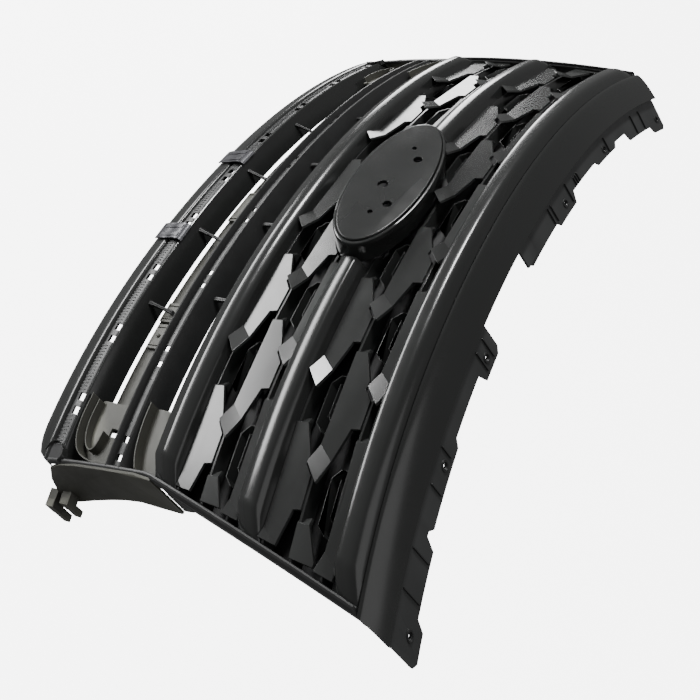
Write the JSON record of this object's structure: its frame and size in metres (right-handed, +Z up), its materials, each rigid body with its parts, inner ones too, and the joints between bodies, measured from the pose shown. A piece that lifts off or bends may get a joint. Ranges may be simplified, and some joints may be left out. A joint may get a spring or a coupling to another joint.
{
  "type": "car front grille",
  "caption": "Bowed car front grille with rounded bars, overlapping scale lattice, oval badge pad, slotted divider, rolled lower lip and a top mounting flange.",
  "frame": {"origin": "a point on the underside of the flat rest pad on the top flange, on the car's centre line (X = 0); the pad runs from X = -24 mm to X = 6 mm", "axes": "+X across the car, towards the end that is nearest in the picture; +Y back towards the engine bay; +Z up"},
  "size_m": [0.9982, 0.3943, 0.4952],
  "materials": {
    "satin_plastic": "smooth moulded black plastic with a satin sheen",
    "grained_plastic": "fine grained moulded black plastic",
    "backing_plastic": "dull black plastic behind the lattice",
    "inner_plastic": "unpainted dark grey plastic with a slightly olive cast",
    "spring_steel": "dark coated spring steel"
  },
  "bodies": {
    "root": {"header_panel": "satin_plastic", "upper_bar": "satin_plastic", "middle_bar_right": "satin_plastic", "middle_bar_left": "satin_plastic", "lower_bar": "satin_plastic", "badge_pad": "satin_plastic", "badge_collar": "satin_plastic", "lower_lattice_row_1": "satin_plastic", "lower_lattice_row_2": "satin_plastic", "lower_lattice_row_3": "satin_plastic", "upper_lattice_row_1": "satin_plastic", "upper_lattice_row_2": "satin_plastic", "upper_lattice_row_3": "satin_plastic", "upper_backing_panel": "backing_plastic", "lower_backing_panel": "backing_plastic", "divider_bar": "grained_plastic", "lower_lip": "satin_plastic", "lip_trim_strip": "grained_plastic", "rear_rail": "inner_plastic", "lower_slot_strut_1": "grained_plastic", "lower_slot_strut_2": "grained_plastic", "lower_slot_strut_3": "grained_plastic", "lower_slot_strut_4": "grained_plastic", "upper_slot_strut_1": "grained_plastic", "upper_slot_strut_2": "grained_plastic", "upper_slot_strut_3": "grained_plastic", "upper_slot_strut_4": "grained_plastic", "lower_slot_pocket_right": "inner_plastic", "lower_slot_pocket_left": "inner_plastic", "upper_slot_pocket_right": "inner_plastic", "upper_slot_pocket_left": "inner_plastic", "side_wall_right": "grained_plastic", "side_wall_left": "grained_plastic", "side_bracket_right": "inner_plastic", "side_bracket_left": "inner_plastic", "mounting_flange_right": "grained_plastic", "mounting_flange_left": "grained_plastic", "lip_clip_1": "spring_steel", "lip_clip_2": "spring_steel"}
  },
  "joints": []
}
